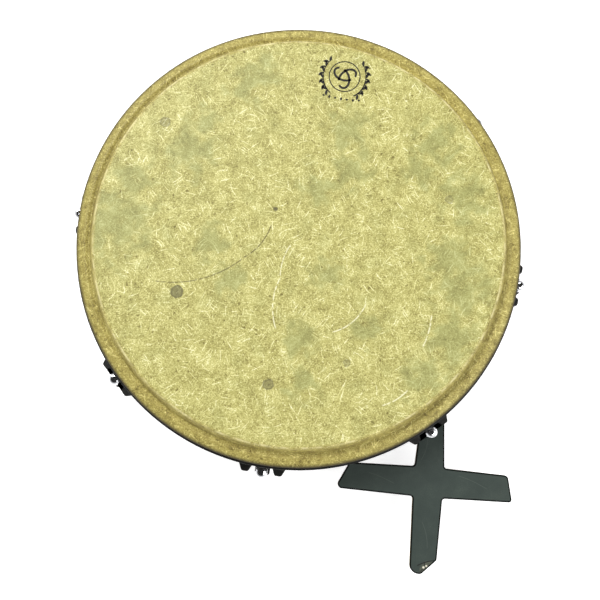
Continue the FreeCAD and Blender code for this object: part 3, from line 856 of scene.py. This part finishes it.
def mark_border(work, border):
    """Insets the upward faces; "border" is 0 on the inset face and rises to 1 at its edges."""
    layer = work.verts.layers.float.new("border")
    top = [face for face in work.faces if face.normal.z > 0.99]
    bmesh.ops.inset_region(work, faces=top, thickness=border, use_even_offset=True)
    for vertex in work.verts:
        vertex[layer] = 1.0
    for face in top:
        for vertex in face.verts:
            vertex[layer] = 0.0


def chrome():
    """Polished plating with faint haze and hairline scratches."""
    shader = Shader("chrome_plate")
    where = shader.place()
    haze = shader.noise(where, scale=0.5, detail=3.0, rough=0.6)
    tint = shader.mix(haze, (0.78, 0.78, 0.80, 1.0), (0.90, 0.90, 0.91, 1.0))
    rough = shader.step(haze, low=0.35, high=0.75, to_low=0.05, to_high=0.16)
    hairline = shader.noise(shader.vector("MULTIPLY", where, (5.0, 0.6, 0.6)), scale=1.0)
    normal = shader.bump(hairline, distance=0.02 * MM, strength=0.25)
    return shader.finish(Base_Color=tint, Metallic=1.0, Roughness=rough, Normal=normal)


def enamel(name, shade, gloss, grit, depth):
    """Black coating: uneven gloss, dust in it and a skin like orange peel."""
    shader = Shader(name)
    where = shader.place()
    cloud = shader.noise(where, scale=0.12, detail=4.0, rough=0.6)
    dust = dots(shader, where, scale=0.8, far=0.3, near=0.1, share=0.25)
    faded = tuple(value * 2.0 for value in shade[:3]) + (1.0,)
    base = shader.mix(cloud, shade, faded)
    base = shader.mix(shader.times(dust, 0.22), base, (0.20, 0.19, 0.17, 1.0))
    rough = shader.step(cloud, low=0.3, high=0.7, to_low=gloss, to_high=gloss + 0.18)
    normal = shader.bump(shader.noise(where, grit), depth * MM, strength=0.6)
    return shader.finish(Base_Color=base, Roughness=rough, Specular_IOR_Level=0.3, Normal=normal)


def metal(name, pale, deep, rough, streak):
    """Plain metal with fine tool marks and dull blotches."""
    shader = Shader(name)
    where = shader.place()
    blotch = shader.noise(where, scale=0.35, detail=4.0, rough=0.65)
    tool = shader.noise(shader.vector("MULTIPLY", where, streak), scale=1.0, detail=3.0, rough=0.6)
    tint = shader.mix(shader.step(blotch, low=0.35, high=0.68), pale, deep)
    dull = shader.step(tool, low=0.25, high=0.8, to_low=rough * 0.7, to_high=rough * 1.35)
    normal = shader.bump(tool, distance=0.03 * MM, strength=0.5)
    return shader.finish(Base_Color=tint, Metallic=1.0, Roughness=dull, Normal=normal)


def stretch(shader, figures, run, width):
    """Wood place from its run, its width and its depth, each scaled for a noise."""
    along, across, depth = figures
    return shader.join(shader.times(along, run), shader.times(across, width),
                       shader.times(depth, width))


def grain(shader, along, across, depth):
    """Wood figure in place of its run, its width and its depth in millimetres: 0 to 1."""
    figures = (along, across, depth)
    wander = shader.noise(stretch(shader, figures, 0.012, 0.06), scale=1.0, detail=3.0)
    ring = shader.math("SINE", weigh(shader, [(across, 0.55), (wander, 26.0), (depth, 0.35)]))
    pore = shader.noise(stretch(shader, figures, 0.07, 1.3), scale=1.0, detail=3.0, rough=0.6)
    return weigh(shader, [(ring, 0.16), (wander, 0.35), (pore, 0.55)], start=0.02)


def stained_shell():
    """Dark stained ply shell: figure runs round it, and its edges show the plies."""
    shader = Shader("stained_shell")
    where = shader.place()
    across, up, height = shader.split(where)[0:3]
    turn = shader.math("ARCTAN2", up, across)
    radius = shader.vector("LENGTH", shader.vector("MULTIPLY", where, (1.0, 1.0, 0.0)))
    figure = grain(shader, shader.times(turn, SHELL_R), height, shader.times(radius, 0.4))
    colour = shader.ramp(figure, [
        (0.2, paint(28, 17, 12)),
        (0.5, paint(62, 37, 24)),
        (0.8, paint(98, 62, 38)),
    ])
    ply = shader.step(shader.math("SINE", shader.times(radius, 4.6)), low=-0.3, high=0.3)
    back_edge = shader.step(height, low=1.5, high=0.9)
    bearing_edge = shader.times(shader.step(height, *BEARING_HEIGHTS),
                                shader.step(radius, *BEARING_RADII))
    layered = shader.mix(ply, paint(70, 46, 30), paint(128, 92, 58))
    colour = shader.mix(shader.math("MAXIMUM", back_edge, bearing_edge), colour, layered)
    rough = shader.step(figure, low=0.2, high=0.8, to_low=0.42, to_high=0.3)
    normal = shader.bump(figure, distance=0.12 * MM, strength=0.5)
    return shader.finish(Base_Color=colour, Roughness=rough, Normal=normal,
                         Coat_Weight=0.35, Coat_Roughness=0.2)


def turned(shader, where, turn):
    """Numbers along and across a heading in the sheet's plane."""
    ahead = (math.cos(turn), math.sin(turn), 0.0)
    aside = (-math.sin(turn), math.cos(turn), 0.0)
    return shader.vector("DOT_PRODUCT", where, ahead), shader.vector("DOT_PRODUCT", where, aside)


def bar_timber(name, heading):
    """Oiled bar whose grain runs along it."""
    shader = Shader(name)
    where = shader.place()
    along, across = turned(shader, where, heading)
    figure = grain(shader, along, across, shader.split(where)[2])
    colour = shader.ramp(figure, [
        (0.2, paint(86, 54, 30)),
        (0.5, paint(134, 91, 54)),
        (0.82, paint(176, 131, 84)),
    ])
    rough = shader.step(figure, low=0.2, high=0.8, to_low=0.6, to_high=0.42)
    normal = shader.bump(figure, distance=0.15 * MM, strength=0.5)
    return shader.finish(Base_Color=colour, Roughness=rough, Normal=normal)


def plate_face(shader, where, tone):
    """Dark skin of the plate, rubbed along its arms, with a few pale lines."""
    face = shader.ramp(tone, [
        (0.3, paint(40, 51, 46)),
        (0.55, paint(47, 58, 52)),
        (0.75, paint(58, 69, 61)),
    ])
    rub = shader.noise(shader.vector("MULTIPLY", where, (0.09, 2.2, 1.0)), 1.0, 3.0, 0.7)
    rubbed = shader.step(rub, low=0.62, high=0.8, to_low=0.0, to_high=0.2)
    face = shader.mix(rubbed, face, paint(88, 98, 88))
    for start, middle, end in RUBBED_LINES:
        line = arc(shader, where, start, middle, end, half=0.4)
        face = shader.mix(shader.times(line, 0.14), face, paint(118, 126, 114))
    return face


def plate_toe(shader, where, face):
    """Chipped, cracked toe of the plate with two bright specks."""
    near = shader.step(shader.vector("DISTANCE", where, TOE_CHIP), low=9.5, high=7.5)
    rough_share = shader.step(shader.noise(where, scale=0.35), 0.35, 0.5, to_low=0.25, to_high=0.7)
    face = shader.mix(shader.times(near, rough_share), face, paint(84, 86, 70))
    cracks = [arc(shader, where, *crack) for crack in TOE_CRACKS]
    face = shader.mix(shader.math("MAXIMUM", *cracks), face, paint(14, 16, 13))
    for across, up, reach in TOE_SPECKS:
        bright = shader.step(shader.distance(where, across, up), low=reach, high=reach * 0.5)
        face = shader.mix(bright, face, paint(214, 210, 190))
    return face


def laminate():
    """Cross plate's laminate: dark skins on a tan core, rubbed face, dark border and worn toe."""
    shader = Shader("dark_laminate")
    place = shader.place()
    away = shader.vector("SUBTRACT", place, (*PLATE_PLACE, 0.0))
    where = shader.join(*turned(shader, away, math.radians(PLATE_TURN)))
    cloud = shader.noise(where, scale=0.045, detail=4.0, rough=0.6)
    fine = shader.noise(where, scale=0.9, detail=2.0, rough=0.6)
    tone = weigh(shader, [(cloud, 0.6), (fine, 0.4)])
    face = plate_toe(shader, where, plate_face(shader, where, tone))
    border = shader.step(shader.attribute("border"), low=0.0, high=0.35)
    face = shader.mix(border, face, paint(9, 13, 11))
    wave = shader.times(shader.noise(where, scale=0.3), 0.5)
    core = band(shader, shader.plus(shader.split(place)[2], wave), CORE_MIDDLE, CORE_HALF)
    plies = shader.mix(fine, paint(128, 104, 70), paint(190, 166, 122))
    rough = shader.step(tone, low=0.3, high=0.8, to_low=0.62, to_high=0.45)
    sheen = shader.step(border, low=0.0, high=1.0, to_low=0.35, to_high=0.06)
    return shader.finish(Base_Color=shader.mix(core, face, plies), Roughness=rough,
                         Specular_IOR_Level=sheen,
                         Normal=shader.bump(fine, distance=0.05 * MM, strength=0.5))


# ---------------------------------------------------------------- making


def dress(materials):
    """Gives each CAD node the finish of its material slot."""
    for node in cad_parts.values():
        for slot in node.material_slots:
            if slot.material and slot.material.name in materials:
                slot.material = materials[slot.material.name]


def dress_bars():
    """Each crossbar gets timber whose grain runs its own way."""
    for name in ("crossbar_lower", "crossbar_upper"):
        far = max(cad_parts[name].data.vertices, key=lambda vertex: vertex.co.xy.length).co
        heading = math.atan2(far.y, far.x)
        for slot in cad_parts[name].material_slots:
            slot.material = bar_timber(f"{name}_timber", heading)


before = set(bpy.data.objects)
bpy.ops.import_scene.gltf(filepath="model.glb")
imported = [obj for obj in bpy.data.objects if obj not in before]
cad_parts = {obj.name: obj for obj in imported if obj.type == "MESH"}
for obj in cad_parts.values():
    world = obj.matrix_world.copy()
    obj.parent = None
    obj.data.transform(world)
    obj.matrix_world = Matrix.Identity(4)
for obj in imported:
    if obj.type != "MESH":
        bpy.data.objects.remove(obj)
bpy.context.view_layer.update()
bpy.context.scene.view_settings.view_transform = "Standard"
make_camera()
make_world()
for light in LIGHTS:
    make_light(*light)
make_floor()
make_film(film_material())
make_ornament(ink())
dress({
    "shell_wood": stained_shell(),
    "black_steel": enamel("black_enamel", (0.006, 0.006, 0.005, 1.0), gloss=0.3, grit=0.25, depth=0.08),
    "flesh_hoop": metal("flesh_ring", pale=(0.62, 0.62, 0.63, 1.0), deep=(0.45, 0.45, 0.46, 1.0),
                        rough=0.35, streak=(0.5, 0.5, 3.0)),
    "steel": metal("bright_steel", pale=(0.66, 0.66, 0.64, 1.0), deep=(0.42, 0.42, 0.42, 1.0),
                   rough=0.28, streak=(2.0, 2.0, 0.4)),
    "brass": metal("brass_metal", pale=(0.76, 0.58, 0.27, 1.0), deep=(0.48, 0.34, 0.15, 1.0),
                   rough=0.3, streak=(0.3, 0.3, 4.0)),
    "chrome": chrome(),
    "black_cast": enamel("black_lug", (0.012, 0.012, 0.013, 1.0), gloss=0.34, grit=0.9, depth=0.12),
    "laminate": laminate(),
})
dress_bars()
for number in range(1, STATIONS + 1):
    soften(f"hoop_ear_{number}", "hoop", CAST_ROUNDING)
    soften(f"lug_bracket_{number}", "drum", CAST_ROUNDING)
soften("cross_plate", "plate", PLATE_ROUNDING, clamp=False, border=PLATE_BORDER)
